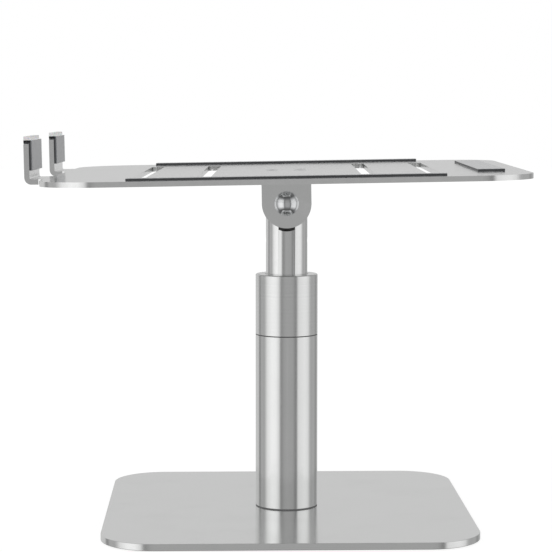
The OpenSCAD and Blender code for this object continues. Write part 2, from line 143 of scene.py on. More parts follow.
world = bpy.data.worlds.new("studio")
bpy.context.scene.world = world
world.use_nodes = True
tree = world.node_tree
tree.nodes.clear()
direction = tree.nodes.new("ShaderNodeTexCoord").outputs["Generated"]
toward = tree.nodes.new("ShaderNodeSeparateXYZ")
wire(tree, direction, toward.inputs[0])
around = figure(tree, "ARCTAN2", toward.outputs["Y"], toward.outputs["X"])
turn_part = figure(tree, "MULTIPLY_ADD", around, 1 / (2 * math.pi), 0.5)
walls = ramp(tree, turn_part, [((d + 180) / 360, v) for d, v in studio_walls])
height = toward.outputs["Z"]
over = figure(tree, "ARCTAN2", height, toward.outputs["X"])
over = figure(tree, "MULTIPLY", over, 1 / math.pi)
banks = ramp(tree, over, [(d / 180, v) for d, v in studio_ceiling])
sideways = figure(tree, "ABSOLUTE", toward.outputs["Y"])
ceiling = blend(tree, ramp(tree, sideways, fade(light_ends)), banks, (ceiling_grey,) * 3)
room = blend(tree, ramp(tree, height, fade(walls_end)), walls, ceiling)
below = ramp(tree, figure(tree, "MULTIPLY", height, -1), fade(ground_starts))
room = blend(tree, below, room, (ground_grey,) * 3)
camera_sees = tree.nodes.new("ShaderNodeLightPath").outputs["Is Camera Ray"]
background = tree.nodes.new("ShaderNodeBackground")
wire(tree, blend(tree, camera_sees, room, (backdrop_white,) * 3), background.inputs["Color"])
wire(tree, background.outputs[0], tree.nodes.new("ShaderNodeOutputWorld").inputs[0])

floor_reach = 6.0
floor_drop = 0.0002
floor_glow = 0.88
floor_grey = 0.30
corners = [(-1, -1), (1, -1), (1, 1), (-1, 1)]
floor_mesh = bpy.data.meshes.new("studio_floor")
floor_mesh.from_pydata(
    [(x * floor_reach, y * floor_reach, -floor_drop) for x, y in corners],
    [], [(0, 1, 2, 3)])
floor = bpy.data.objects.new("studio_floor", floor_mesh)
bpy.context.collection.objects.link(floor)
floor_paint = bpy.data.materials.new("pale_floor")
floor_paint.use_nodes = True
shader = floor_paint.node_tree.nodes["Principled BSDF"]
shader.inputs["Base Color"].default_value = (floor_grey, floor_grey, floor_grey, 1)
shader.inputs["Roughness"].default_value = 0.9
shader.inputs["Specular IOR Level"].default_value = 0.0
shader.inputs["Emission Color"].default_value = (1, 1, 1, 1)
shader.inputs["Emission Strength"].default_value = floor_glow
floor_mesh.materials.append(floor_paint)
floor.visible_glossy = False
floor.visible_diffuse = False

# ---------------------------------------------------------------------------
# Foot mat. A thin sheet of black rubber, calendered with a fine cloth mark and
# stuck under the foot plate a little in from its edge, so the stand can't slip.
# ---------------------------------------------------------------------------


def effect(name, needs, gives):
    """Starts a shader node group; returns it with its input and output nodes."""
    made = bpy.data.node_groups.new(name, "ShaderNodeTree")
    for label, value in needs:
        socket = made.interface.new_socket(name=label, in_out="INPUT", socket_type="NodeSocketFloat")
        socket.default_value = value
    for label in gives:
        made.interface.new_socket(name=label, in_out="OUTPUT", socket_type="NodeSocketFloat")
    return made, made.nodes.new("NodeGroupInput").outputs, made.nodes.new("NodeGroupOutput").inputs


def noise(tree, place, size, detail=2.0, rough=0.5, dimensions="3D"):
    """The value of a noise texture with about `size` blobs to the metre."""
    made = tree.nodes.new("ShaderNodeTexNoise")
    made.noise_dimensions = dimensions
    wire(tree, place, made.inputs["W" if dimensions == "1D" else "Vector"])
    wire(tree, size, made.inputs["Scale"])
    made.inputs["Detail"].default_value = detail
    made.inputs["Roughness"].default_value = rough
    return made.outputs[0]


def own_place(tree):
    """Where a point lies in the piece's own space, in metres."""
    return tree.nodes.new("ShaderNodeTexCoord").outputs["Object"]


# Rubber skin: fine pores, a cloudy bloom and dust that gathers on top.
rubber_skin, needs, gives = effect(
    "rubber_skin", [("Pores", 5200.0), ("Bloom", 0.5)], ["Tone", "Dust", "Height"])
place = own_place(rubber_skin)
pores = noise(rubber_skin, place, needs["Pores"], 3.0, 0.6)
clouds = noise(rubber_skin, place, 55.0, 4.0, 0.6)
wire(rubber_skin, figure(rubber_skin, "MULTIPLY", clouds, needs["Bloom"]), gives["Tone"])
facing = rubber_skin.nodes.new("ShaderNodeSeparateXYZ")
wire(rubber_skin, rubber_skin.nodes.new("ShaderNodeNewGeometry").outputs["Normal"], facing.inputs[0])
specks = ramp(rubber_skin, noise(rubber_skin, place, 1900.0, 2.0), [(0.60, 0.0), (0.72, 1.0)])
upward = ramp(rubber_skin, facing.outputs["Z"], [(0.5, 0.0), (0.95, 1.0)])
wire(rubber_skin, figure(rubber_skin, "MULTIPLY", specks, upward), gives["Dust"])
wire(rubber_skin, pores, gives["Height"])


def finish_named(name):
    """A new finish with its node tree and its shader."""
    made = bpy.data.materials.new(name)
    made.use_nodes = True
    return made, made.node_tree, made.node_tree.nodes["Principled BSDF"]


def use(tree, made, **values):
    """Places an effect in a finish, with its own values; returns its outputs."""
    placed = tree.nodes.new("ShaderNodeGroup")
    placed.node_tree = made
    for label, value in values.items():
        wire(tree, value, placed.inputs[label.replace("_", " ")])
    return placed.outputs


def raised(tree, shader, surface_height, depth, strength=1.0):
    """Gives a finish its relief, `depth` metres deep."""
    bump = tree.nodes.new("ShaderNodeBump")
    bump.inputs["Strength"].default_value = strength
    bump.inputs["Distance"].default_value = depth
    wire(tree, surface_height, bump.inputs["Height"])
    wire(tree, bump.outputs[0], shader.inputs["Normal"])


def rubber(name, dark, light, roughness, pores, depth, dust=0.25):
    """A rubber finish between two tones, with pores and a little dust."""
    made, tree, shader = finish_named(name)
    skin = use(tree, rubber_skin, Pores=pores)
    tone = blend(tree, skin["Tone"], dark, light)
    dusty = figure(tree, "MULTIPLY", skin["Dust"], dust)
    wire(tree, blend(tree, dusty, tone, (0.42, 0.42, 0.40)), shader.inputs["Base Color"])
    wire(tree, figure(tree, "MULTIPLY_ADD", skin["Tone"], 0.12, roughness), shader.inputs["Roughness"])
    raised(tree, shader, skin["Height"], depth, 0.35)
    return made, tree, shader


def clad(name, finish):
    """Gives a carried-over CAD node its finish."""
    mesh = node[name].data
    mesh.materials.clear()
    mesh.materials.append(finish)


def cast(name, shell, space, finish, body, slot, *stands_for):
    """Makes a piece from a shell drawn in millimetres, and puts it in its place."""
    bmesh.ops.transform(shell, matrix=space, verts=shell.verts)
    bmesh.ops.recalc_face_normals(shell, faces=shell.faces)
    mesh = bpy.data.meshes.new(name)
    shell.to_mesh(mesh)
    shell.free()
    mesh.shade_smooth()
    mesh.materials.append(finish)
    piece = bpy.data.objects.new(name, mesh)
    bpy.context.collection.objects.link(piece)
    even = piece.modifiers.new("even_shading", "WEIGHTED_NORMAL")
    even.weight = 60
    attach(piece, body)
    if stands_for:
        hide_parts(*stands_for)
    return piece


def in_place(origin, across, up):
    """Turns millimetres in a piece's own space into metres in the stand's."""
    turned = Matrix((across, up.cross(across), up)).transposed().to_4x4()
    return Matrix.Translation(origin) @ turned @ Matrix.Scale(0.001, 4)


def span(name, space):
    """Lowest and highest corner of a CAD node in a piece's own space."""
    back = space.inverted()
    corners = [back @ v.co for v in node[name].data.vertices]
    return ([min(c[i] for c in corners) for i in range(3)],
            [max(c[i] for c in corners) for i in range(3)])


def rounded_corner(wide, deep, r, steps=12):
    """Outline of a rectangle with round corners, about its middle."""
    outline = []
    for quarter, (sx, sy) in enumerate(((1, 1), (-1, 1), (-1, -1), (1, -1))):
        for k in range(steps + 1):
            a = math.radians(90 * (quarter + k / steps))
            middle = (sx * (wide / 2 - r), sy * (deep / 2 - r))
            outline.append((middle[0] + r * math.cos(a), middle[1] + r * math.sin(a)))
    return outline


def shrunk(outline, by):
    """The outline with every side moved in by the same amount."""
    moved = []
    for i, (x, y) in enumerate(outline):
        (ax, ay), (bx, by_) = outline[i - 1], outline[(i + 1) % len(outline)]
        one = Vector((x - ax, y - ay)).normalized()
        two = Vector((bx - x, by_ - y)).normalized()
        out = Vector((one.y + two.y, -one.x - two.x))
        out /= max(0.3, out.length_squared / 2)
        moved.append((x - by * out.x, y - by * out.y))
    return moved


def layered(shell, outline, layers):
    """Stacks the outline, moved in by each layer's amount, into a closed body."""
    loops = []
    for inward, z in layers:
        loops.append([shell.verts.new((x, y, z)) for x, y in shrunk(outline, inward)])
    for low, high in zip(loops, loops[1:]):
        for i in range(len(low)):
            shell.faces.new((low[i - 1], low[i], high[i], high[i - 1]))
    shell.faces.new(loops[0][::-1])
    shell.faces.new(loops[-1])


stand_space = in_place(Vector(), Vector((1, 0, 0)), Vector((0, 0, 1)))
foot_mat, tree, shader = rubber(
    "foot_mat", dark=(0.022, 0.022, 0.024), light=(0.045, 0.045, 0.046), roughness=0.72, pores=2600.0,
    depth=0.00012)
mat_edge, mat_corner, mat_steps = 0.25, 29.0, 24
low, high = span("base_mat", stand_space)
shell = bmesh.new()
layered(shell, rounded_corner(high[0] - low[0], high[1] - low[1], mat_corner, mat_steps),
        [(mat_edge, low[2]), (0, low[2] + mat_edge / 2), (0, high[2])])
cast("foot_mat_sheet", shell, stand_space, foot_mat, "base", "foot_mat", "base_mat")

# ---------------------------------------------------------------------------
# Foot plate. One thick aluminium plate, cut with large round corners, its
# edges broken, bead-blasted fine and clear anodised.
# ---------------------------------------------------------------------------

# Blasted grain: pits too small to count, with a faint cloudiness over them.
blast_grain, needs, gives = effect(
    "blast_grain", [("Pits", 6500.0)], ["Height", "Tone"])
place = own_place(blast_grain)
fine = noise(blast_grain, place, needs["Pits"], 4.0, 0.65)
broad = noise(blast_grain, place, 21.0, 3.0, 0.55)
middle = noise(blast_grain, place, 420.0, 3.0, 0.6)
wire(blast_grain, fine, gives["Height"])
mixed = figure(blast_grain, "MULTIPLY_ADD", middle, 0.35, figure(blast_grain, "MULTIPLY", broad, 0.65))
wire(blast_grain, mixed, gives["Tone"])

# Edge wear: where an edge stands proud, the finish is rubbed brighter.
edge_wear, needs, gives = effect(
    "edge_wear", [("From", 0.53), ("Patches", 300.0)], ["Mask"])
proud = edge_wear.nodes.new("ShaderNodeNewGeometry").outputs["Pointiness"]
edge = edge_wear.nodes.new("ShaderNodeMapRange")
wire(edge_wear, proud, edge.inputs["Value"])
wire(edge_wear, needs["From"], edge.inputs["From Min"])
wire(edge_wear, figure(edge_wear, "ADD", needs["From"], 0.08), edge.inputs["From Max"])
rubbed = ramp(edge_wear, noise(edge_wear, own_place(edge_wear), needs["Patches"], 3.0, 0.6),
              [(0.35, 0.35), (0.6, 1.0)])
wire(edge_wear, figure(edge_wear, "MULTIPLY", edge.outputs[0], rubbed), gives["Mask"])

# Handling: dull smudges from hands, and hair-thin scratches in two directions.
handling, needs, gives = effect("handling", [("Smears", 34.0)], ["Smudge", "Scratch"])
place = own_place(handling)
smears = noise(handling, place, needs["Smears"], 5.0, 0.62)
wire(handling, ramp(handling, smears, [(0.50, 0.0), (0.68, 1.0)], "EASE"), gives["Smudge"])
scratches = []
for angle, thin in ((0.6, 2600.0), (-0.9, 3300.0)):
    slanted = handling.nodes.new("ShaderNodeMapping")
    slanted.inputs["Rotation"].default_value = (angle * 0.3, angle * 0.5, angle)
    slanted.inputs["Scale"].default_value = (0.012, 1.0, 1.0)
    wire(handling, place, slanted.inputs["Vector"])
    scratches.append(ramp(handling, noise(handling, slanted.outputs[0], thin, 1.0, 0.4),
                          [(0.76, 0.0), (0.80, 1.0)]))
wire(handling, figure(handling, "MAXIMUM", *scratches), gives["Scratch"])


def shaded(colour, times):
    """The colour made darker or paler."""
    return tuple(min(1.0, c * times) for c in colour)


def anodised(name, colour, roughness, pits=6500.0, depth=0.0000035, lines=None):
    """Blasted and anodised metal: grain, smudges, scratches and rubbed edges."""
    made, tree, shader = finish_named(name)
    grain = use(tree, blast_grain, Pits=pits)
    hands = use(tree, handling)
    worn = use(tree, edge_wear)["Mask"]
    tone = blend(tree, grain["Tone"], shaded(colour, 0.955), shaded(colour, 1.035))
    tone = blend(tree, figure(tree, "MULTIPLY", hands["Smudge"], 0.05), tone, (0.55, 0.55, 0.54))
    tone = blend(tree, figure(tree, "MULTIPLY", worn, 0.5), tone, (0.95, 0.95, 0.95))
    wire(tree, tone, shader.inputs["Base Color"])
    dull = figure(tree, "MULTIPLY_ADD", hands["Smudge"], 0.035, roughness)
    dull = figure(tree, "MULTIPLY_ADD", figure(tree, "SUBTRACT", grain["Tone"], 0.5), 0.06, dull)
    dull = figure(tree, "MULTIPLY_ADD", hands["Scratch"], 0.03, dull)
    wire(tree, dull, shader.inputs["Roughness"])
    relief = grain["Height"]
    if lines:
        relief = figure(tree, "MULTIPLY_ADD", lines(tree), 0.7, relief)
    relief = figure(tree, "MULTIPLY_ADD", hands["Scratch"], -0.5, relief)
    raised(tree, shader, relief, depth, 0.6)
    shader.inputs["Metallic"].default_value = 1.0
    return made


def broken_edges(name, width, sides=3):
    """Breaks the sharp edges of a CAD node's copy and evens out its shading."""
    piece = node[name]
    weld = piece.modifiers.new("one_skin", "WELD")
    weld.merge_threshold = 0.000002
    plain = piece.modifiers.new("plain_faces", "DECIMATE")
    plain.decimate_type = "DISSOLVE"
    plain.angle_limit = math.radians(0.4)
    soft = piece.modifiers.new("broken_edges", "BEVEL")
    soft.width = width * 0.001
    soft.segments = sides
    soft.limit_method = "ANGLE"
    soft.angle_limit = math.radians(28)
    soft.harden_normals = False
    even = piece.modifiers.new("even_shading", "WEIGHTED_NORMAL")
    even.weight = 60


plate_colour = (0.86, 0.865, 0.86)
satin_aluminium = anodised("satin_aluminium", plate_colour, 0.15)
clad("base_plate", satin_aluminium)
broken_edges("base_plate", 0.35)

# ---------------------------------------------------------------------------
# Foot screws and plug. Four countersunk socket screws go up through the plate
# into a turned aluminium plug, pressed and glued in the foot of the tube.
# ---------------------------------------------------------------------------


def softened(outline, radius, steps=3):
    """Rounds the corners of a closed outline for turning, except on its axis."""
    soft = []
    for i, point in enumerate(outline):
        here = Vector(point)
        back = Vector(outline[i - 1]) - here
        on = Vector(outline[(i + 1) % len(outline)]) - here
        opening = back.angle(on)
        if here.x < 1e-6 or opening > math.radians(170):
            soft.append(tuple(here))
            continue
        reach = min(radius / math.tan(opening / 2), back.length * 0.45, on.length * 0.45)
        start, stop = here + back.normalized() * reach, here + on.normalized() * reach
        for k in range(steps + 1):
            t = k / steps
            soft.append(tuple(start * (1 - t) ** 2 + here * (2 * t * (1 - t)) + stop * t * t))
    return soft


def turned(shell, outline, sides=96, place=Matrix()):
    """Turns a closed outline of (radius, height) round the piece's own axis.
    A third number is the corner radius of a hexagon that the point keeps within."""
    rings = []
    for point in outline:
        ring = []
        for i in range(sides if point[0] > 1e-6 else 1):
            angle = math.tau * i / sides
            reach = point[0]
            if len(point) > 2:
                flat = math.cos(angle % (math.pi / 3) - math.pi / 6)
                reach = min(reach, point[2] * math.cos(math.pi / 6) / flat)
            ring.append(shell.verts.new(
                place @ Vector((reach * math.cos(angle), reach * math.sin(angle), point[1]))))
        rings.append(ring)
    for one, two in zip(rings, rings[1:] + rings[:1]):
        if len(one) == len(two) == 1:
            continue
        for i in range(sides):
            on = i + 1
            around = [one[i % len(one)], one[on % len(one)], two[on % len(two)], two[i % len(two)]]
            shell.faces.new(list(dict.fromkeys(around)))


def socket_screw(shell, place, shank, head, length, socket):
    """A countersunk screw with a hexagon socket, its face on z = 0, pointing down."""
    cone, deep, mouth = head - shank, 0.7 * (head - shank), socket + 0.1
    turned(shell, [
        (0, -deep - 0.15), (socket, -deep, socket), (socket, -0.08, socket), (mouth, 0, mouth),
        (head - 0.25, 0), (head, -0.12), (shank, -cone), (shank, -length + 0.3), (shank - 0.3, -length),
        (0, -length)], 72, place)


# Turned lines: the feed marks of a lathe tool, along the axis of turning.
turned_lines, needs, gives = effect(
    "turned_lines", [("Place", 0.0), ("Lines", 9000.0)], ["Height", "Tone"])
fine = figure(turned_lines, "MULTIPLY", needs["Place"], needs["Lines"])
marks = noise(turned_lines, fine, 1.0, 2.0, 0.7, "1D")
wire(turned_lines, marks, gives["Height"])
coarse = figure(turned_lines, "MULTIPLY", needs["Place"], 900.0)
bands = noise(turned_lines, coarse, 1.0, 3.0, 0.6, "1D")
wire(turned_lines, bands, gives["Tone"])


def turned_metal(name, colour, roughness, axis=(0, 0, 1), lines=9000.0, depth=0.000006, wear=0.5):
    """Metal off the lathe, with feed marks along the axis that it was turned on."""
    made, tree, shader = finish_named(name)
    along = tree.nodes.new("ShaderNodeVectorMath")
    along.operation = "DOT_PRODUCT"
    wire(tree, own_place(tree), along.inputs[0])
    along.inputs[1].default_value = axis
    feed = use(tree, turned_lines, Place=along.outputs["Value"], Lines=lines)
    grain = use(tree, blast_grain, Pits=5200.0)
    hands = use(tree, handling)
    worn = use(tree, edge_wear)["Mask"]
    tone = blend(tree, feed["Tone"], shaded(colour, 0.93), shaded(colour, 1.05))
    tone = blend(tree, figure(tree, "MULTIPLY", hands["Smudge"], 0.06), tone, (0.52, 0.52, 0.51))
    tone = blend(tree, figure(tree, "MULTIPLY", worn, wear), tone, (0.95, 0.95, 0.95))
    wire(tree, tone, shader.inputs["Base Color"])
    dull = figure(tree, "MULTIPLY_ADD", feed["Tone"], 0.06, roughness)
    wire(tree, figure(tree, "MULTIPLY_ADD", hands["Smudge"], 0.04, dull), shader.inputs["Roughness"])
    relief = figure(tree, "MULTIPLY_ADD", grain["Height"], 0.25, feed["Height"])
    raised(tree, shader, relief, depth, 0.5)
    shader.inputs["Metallic"].default_value = 1.0
    return made


zinc_grey = (0.46, 0.47, 0.48)
screw_steel = turned_metal("screw_steel", zinc_grey, 0.30, lines=3000.0)
machined_grey = (0.66, 0.665, 0.67)
machined_aluminium = turned_metal("machined_aluminium", machined_grey, 0.22, lines=5000.0)
clad("foot_plug", machined_aluminium)
foot_screw_circle, foot_shank, foot_head, foot_socket = 9.0, 2.5, 5.0, 1.9
low, high = span("base_screws", stand_space)
half_turn = Matrix.Rotation(math.pi, 4, "X")
shell = bmesh.new()
for i in range(4):
    spot = Matrix.Rotation(math.radians(45 + 90 * i), 4, "Z")
    spot = spot @ Matrix.Translation((foot_screw_circle, 0, low[2])) @ half_turn
    socket_screw(shell, spot, foot_shank, foot_head, high[2] - low[2], foot_socket)
cast("foot_screws", shell, stand_space, screw_steel, "base", "screw_steel", "base_screws")

# ---------------------------------------------------------------------------
# Seals. A thin punched gasket of grey rubber sits between plate and tube, and a
# darker thrust ring of the same kind lies between the tube and the lock collar.
# ---------------------------------------------------------------------------
dark_seal, tree, shader = rubber(
    "dark_seal", dark=(0.10, 0.10, 0.103), light=(0.17, 0.17, 0.173), roughness=0.55, pores=4200.0,
    depth=0.00002)
pale_seal, tree, shader = rubber(
    "pale_seal", dark=(0.24, 0.24, 0.243), light=(0.34, 0.34, 0.343), roughness=0.50, pores=4200.0,
    depth=0.00002)
tube_bore, seal_swell, end_break, round_sides = 16.0, 0.3, 0.12, 144


def sleeve(inside, outside, bottom, top):
    """Outline of a plain ring, for turning."""
    return [(inside, bottom), (outside, bottom), (outside, top), (inside, top)]


for cad, name, finish in (("foot_gasket", "foot_seal", pale_seal), ("seam_ring", "thrust_seal", dark_seal)):
    low, high = span(cad, stand_space)
    shell = bmesh.new()
    turned(shell, softened(sleeve(tube_bore, high[0] + seal_swell, low[2], high[2]), end_break), round_sides)
    cast(name, shell, stand_space, finish, "base", "dark_seal", cad)

# ---------------------------------------------------------------------------
# Column tube. Drawn aluminium tube, cut square, its ends broken on the lathe,
# then blasted and anodised with the plate so that both have one colour.
# ---------------------------------------------------------------------------


def drawn_lines(tree):
    """Faint marks that run along a drawn tube."""
    stretched = tree.nodes.new("ShaderNodeMapping")
    stretched.inputs["Scale"].default_value = (1.0, 1.0, 0.01)
    wire(tree, own_place(tree), stretched.inputs["Vector"])
    return noise(tree, stretched.outputs[0], 3800.0, 2.0, 0.6)


tube_aluminium = anodised("tube_aluminium", plate_colour, 0.135, lines=drawn_lines)
low, high = span("outer_tube", stand_space)
shell = bmesh.new()
turned(shell, softened(sleeve(tube_bore, high[0], low[2], high[2]), end_break), round_sides)
cast("column_tube", shell, stand_space, tube_aluminium, "base", "satin_aluminium", "outer_tube")

# ---------------------------------------------------------------------------
# Twist lock. A threaded neck stands in the tube; the collar screws down on it
# and squeezes a split ring of white plastic onto the sliding tube. The collar
# is turned from bar, with fine rings for grip, and wears a black wiper inside.
# ---------------------------------------------------------------------------
white_plastic, tree, shader = finish_named("white_plastic")
skin = use(tree, rubber_skin, Pores=2400.0)
tone = blend(tree, skin["Tone"], (0.66, 0.66, 0.63), (0.80, 0.80, 0.77))
wire(tree, tone, shader.inputs["Base Color"])
wire(tree, figure(tree, "MULTIPLY_ADD", skin["Tone"], 0.15, 0.34), shader.inputs["Roughness"])
raised(tree, shader, skin["Height"], 0.00001, 0.3)
shader.inputs["Subsurface Weight"].default_value = 0.08
shader.inputs["Subsurface Scale"].default_value = 0.001
clad("lock_neck", machined_aluminium)
broken_edges("lock_neck", 0.12, 2)
clad("collet", white_plastic)
broken_edges("collet", 0.15, 2)

turned_aluminium = turned_metal("turned_aluminium", plate_colour, 0.145, lines=7000.0, depth=0.000004)
low, high = span("lock_collar", stand_space)
foot, top, skin_r, mouth_r, rim, foot_rim = low[2], high[2], high[0], 13.1, 0.5, 0.12
ring_pitch, ring_depth, ring_half = 2.0, 0.05, 0.30
neck_r, thread_r, cone_r, wiper_seat_r, lip_land = 16.05, 15.6, 14.6, 14.5, 0.3
wiper_above, wiper_below, mouth_deep, cone_below, thread_long, cone_long = 2, 4.5, 5.6, 6, 17, 19
ring_groove = ((-1, 0), (-0.55, 0.55), (0, 1), (0.55, 0.55), (1, 0))
outline = [(neck_r, foot), (skin_r - foot_rim, foot), (skin_r, foot + foot_rim)]
for i in range(1, 1 + int((top - foot - ring_pitch) / ring_pitch)):
    at = foot + i * ring_pitch
    outline += [(skin_r - ring_depth * deep, at + ring_half * part) for part, deep in ring_groove]
outline += [(skin_r, top - rim), (skin_r - rim, top), (mouth_r + lip_land, top), (mouth_r, top - lip_land),
            (mouth_r, top - wiper_above), (wiper_seat_r, top - wiper_above), (wiper_seat_r, top - wiper_below),
            (mouth_r, top - wiper_below), (mouth_r, top - mouth_deep), (cone_r, top - mouth_deep),
            (cone_r, top - cone_below), (thread_r, foot + cone_long), (neck_r, foot + thread_long)]
shell = bmesh.new()
turned(shell, outline, round_sides)
cast("twist_collar", shell, stand_space, turned_aluminium, "collar", "turned_aluminium", "lock_collar")

low, high = span("collar_wiper", stand_space)
lip_r, heel_r, heel_top_r, lip_below, lip_end = 12.82, 13.5, 13.3, 0.4, 0.8
shell = bmesh.new()
turned(shell, softened([
    (heel_r, low[2]), (high[0], low[2]), (high[0], high[2]), (heel_top_r, high[2]),
    (lip_r, high[2] - lip_below), (lip_r, high[2] - lip_end)], 0.15))
cast("wiper_lip", shell, stand_space, dark_seal, "collar", "dark_seal", "collar_wiper")

# ---------------------------------------------------------------------------
# Sliding tube. Drawn tube with two flats milled at its top for the hinge ears.
# A turned tail is screwed in its foot and turns in a plastic guide bush.
# ---------------------------------------------------------------------------
clad("guide_bush", white_plastic)
broken_edges("guide_bush", 0.2, 2)
clad("tube_tail", machined_aluminium)
broken_edges("tube_tail", 0.2, 2)
clad("tail_screw", screw_steel)
clad("inner_tube", tube_aluminium)
broken_edges("inner_tube", 0.16)

# A dark painted shade lies in the milled flats and their run-outs, below the ears, where the ears' shade falls.
flats_painted_shade, tree, shader = rubber(
    "flats_painted_shade", dark=(0.040, 0.040, 0.039), light=(0.070, 0.069, 0.066), roughness=0.28, pores=900.0,
    depth=0.00002, dust=0.0)
tilt = next(j for j in frame["joints"] if j["name"] == "tray_tilt")
hinge_at = Vector(tilt["pos_m"])
hinge_line = Vector(tilt["axis"]).normalized()
flat_at, flat_slack = 11.7, 0.15
tube_skin = node["inner_tube"].data
tube_skin.materials.append(flats_painted_shade)
for face in tube_skin.polygons:
    sideways = abs(face.normal.dot(hinge_line))
    depth = abs(face.center.dot(hinge_line)) * 1000
    milled = sideways > 0.999 and abs(depth - flat_at) < flat_slack
    run_out = sideways > 0.6 and face.normal.z > 0.5 and depth > flat_at - flat_slack
    if milled or run_out:
        face.material_index = 1

# ---------------------------------------------------------------------------
# Knuckle. A solid aluminium core is pinned in the tube's top and rounded over
# with it; two sintered bronze bushes in it carry the hinge bolt.
# ---------------------------------------------------------------------------
swivel_space = in_place(Vector(), hinge_line, Vector((0, 0, 1)))
clad("hinge_core", machined_aluminium)
broken_edges("hinge_core", 0.16)
pin_r, pin_edge = 2.0, 0.4
low, high = span("core_pin", swivel_space)
pin_half = (high[1] - low[1]) / 2
shell = bmesh.new()
turned(shell, softened([(0, -pin_half), (pin_r, -pin_half), (pin_r, pin_half), (0, pin_half)], pin_edge), 48,
       Matrix.Translation((0, 0, (low[2] + high[2]) / 2)) @ Matrix.Rotation(math.pi / 2, 4, "X"))
cast("cross_pin", shell, swivel_space, screw_steel, "swivel", "screw_steel", "core_pin")

bush_bronze, tree, shader = finish_named("bush_bronze")
sintered = tree.nodes.new("ShaderNodeTexVoronoi")
sintered.inputs["Scale"].default_value = 3600
wire(tree, own_place(tree), sintered.inputs["Vector"])
grain = use(tree, blast_grain, Pits=3000.0)
pits = ramp(tree, sintered.outputs["Distance"], [(0.12, 0.0), (0.4, 1.0)])
wire(tree, blend(tree, pits, (0.16, 0.10, 0.05), (0.52, 0.36, 0.18)), shader.inputs["Base Color"])
wire(tree, figure(tree, "MULTIPLY_ADD", grain["Tone"], 0.2, 0.34), shader.inputs["Roughness"])
raised(tree, shader, pits, 0.00002, 0.5)
shader.inputs["Metallic"].default_value = 1.0
clad("hinge_bushes", bush_bronze)
broken_edges("hinge_bushes", 0.15, 2)

washer_plastic, tree, shader = rubber(
    "washer_plastic", dark=(0.030, 0.030, 0.034), light=(0.075, 0.075, 0.08), roughness=0.38, pores=1500.0,
    depth=0.000008, dust=0.1)
bolt_space = in_place(hinge_at, hinge_line.orthogonal().normalized(), hinge_line)
washer_r, washer_hole = 10.0, 4.4
low, high = span("friction_washers", bolt_space)
shell = bmesh.new()
for side in (0, math.pi):
    turned(shell, softened(sleeve(washer_hole, washer_r, flat_at, high[2]), 0.1),
           place=Matrix.Rotation(side, 4, "X"))
cast("slip_washers", shell, bolt_space, washer_plastic, "swivel", "washer_plastic", "friction_washers")

# ---------------------------------------------------------------------------
# Hinge bracket. A U folded from 3 mm sheet, its ears rounded on the hinge
# bolt, screwed up under the tray, blasted and anodised like the tray.
# ---------------------------------------------------------------------------
tray_up = Vector(next(m for m in record["mounts"] if m["name"] == "laptop_rest")["axis"]).normalized()
tray_space = in_place(hinge_at, hinge_line, tray_up)
clad("hinge_bracket", satin_aluminium)
broken_edges("hinge_bracket", 0.3)
clad("tilt_stop", screw_steel)

# ---------------------------------------------------------------------------
# Hinge bolt, cap nut and disc springs. Bright chromed steel: a domed bolt head
# on one side, a capped hexagon nut on the other, with a pair of disc springs
# under each that keep the washers pressed, so that the tray stays as it is set.
# ---------------------------------------------------------------------------
polished_chrome, tree, shader = finish_named("polished_chrome")
hands = use(tree, handling, Smears=160.0)
worn = use(tree, edge_wear, From=0.55, Patches=700.0)["Mask"]
tone = blend(tree, figure(tree, "MULTIPLY", hands["Smudge"], 0.12), (0.80, 0.81, 0.82), (0.55, 0.55, 0.54))
tone = blend(tree, figure(tree, "MULTIPLY", worn, 0.4), tone, (0.92, 0.92, 0.92))
wire(tree, tone, shader.inputs["Base Color"])
wire(tree, figure(tree, "MULTIPLY_ADD", hands["Smudge"], 0.05, 0.09), shader.inputs["Roughness"])
raised(tree, shader, hands["Scratch"], 0.000002, 0.4)
shader.inputs["Metallic"].default_value = 1.0


def dome_points(r, base, rise, steps=14):
    """Outline of a round dome from its rim to its middle."""
    ball = (r * r + rise * rise) / (2 * rise)
    widest = math.asin(r / ball)
    middle = base + rise - ball
    angles = [widest * (1 - k / steps) for k in range(steps)]
    return [(ball * math.sin(a), middle + ball * math.cos(a)) for a in angles] + [(0, base + rise)]


ear_out, spring_thick, bolt_r = 15.15, 0.9, 4.0
dome_r, dome_rim = 7.2, 0.5
low, high = span("hinge_bolt", bolt_space)
seat = ear_out + spring_thick
shell = bmesh.new()
turned(shell, [(0, low[2]), (bolt_r - 0.3, low[2]), (bolt_r, low[2] + 0.3), (bolt_r, seat),
               (dome_r - 0.15, seat), (dome_r, seat + 0.15), (dome_r, seat + dome_rim - 0.1),
               (dome_r - 0.04, seat + dome_rim)]
       + dome_points(dome_r - 0.12, seat + dome_rim, high[2] - seat - dome_rim), 128)
cast("domed_bolt", shell, bolt_space, polished_chrome, "tray", "polished_chrome", "hinge_bolt")

nut_hex, nut_thick, nut_dome, nut_rise, nut_chamfer = 6.6, 3.0, 5.4, 3.6, 0.45
shell = bmesh.new()
turned(shell, [(bolt_r, seat), (nut_hex * 0.9, seat, nut_hex), (nut_hex, seat + nut_chamfer, nut_hex),
               (nut_hex, seat + nut_thick - nut_chamfer, nut_hex), (nut_hex * 0.9, seat + nut_thick, nut_hex)]
       + dome_points(nut_dome, seat + nut_thick, nut_rise)
       + [(0, seat + nut_thick), (bolt_r, seat + nut_thick)], 120, half_turn)
cast("cap_nut", shell, bolt_space, polished_chrome, "tray", "polished_chrome", "hinge_nut")

